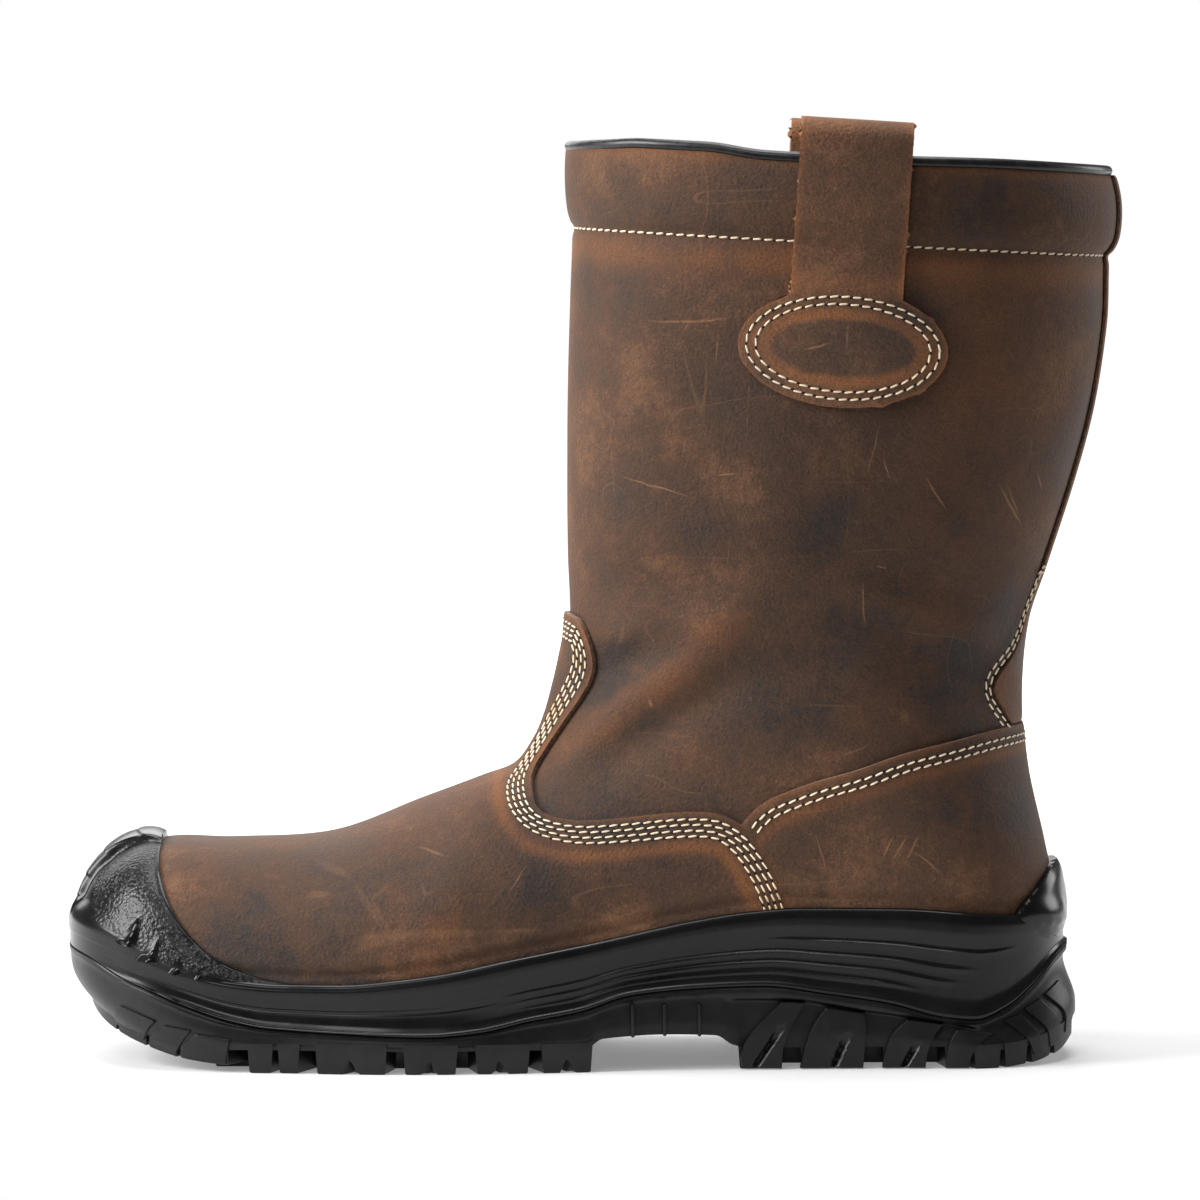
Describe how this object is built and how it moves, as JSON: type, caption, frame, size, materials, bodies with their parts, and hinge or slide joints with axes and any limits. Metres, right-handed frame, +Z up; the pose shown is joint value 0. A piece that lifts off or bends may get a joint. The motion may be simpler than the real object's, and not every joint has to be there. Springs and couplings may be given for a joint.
{
  "type": "safety boot",
  "caption": "Pull-on leather safety boot with a sewn vamp and heel counter, a moulded toe guard, pull straps at the collar and a cupped sole with a lugged tread.",
  "frame": {"origin": "on the floor, under the middle of the boot's length and width", "axes": "+Z up, -X towards the toe, -Y towards the outer (lateral) side of this left boot"},
  "size_m": [0.319, 0.123, 0.284],
  "materials": {
    "brown_leather": "oiled pull-up leather, satin, lighter and redder where it is bent or worn",
    "strap_leather": "oiled leather with raw edges",
    "black_rubber": "matt black rubber",
    "black_moulding": "satin black moulded foam skin, pebbled on the toe guard",
    "black_binding": "glossy black binding",
    "footbed": "matt grey felt"
  },
  "bodies": {
    "root": {"outsole": "black_rubber", "midsole": "black_moulding", "insole": "footbed", "upper": "brown_leather", "vamp": "brown_leather", "counter": "brown_leather", "back_stay": "brown_leather", "toe_guard": "black_moulding", "heel_guard": "black_moulding", "collar_piping": "black_binding", "pull_loop_lateral": "strap_leather", "pull_loop_medial": "strap_leather"}
  },
  "joints": []
}
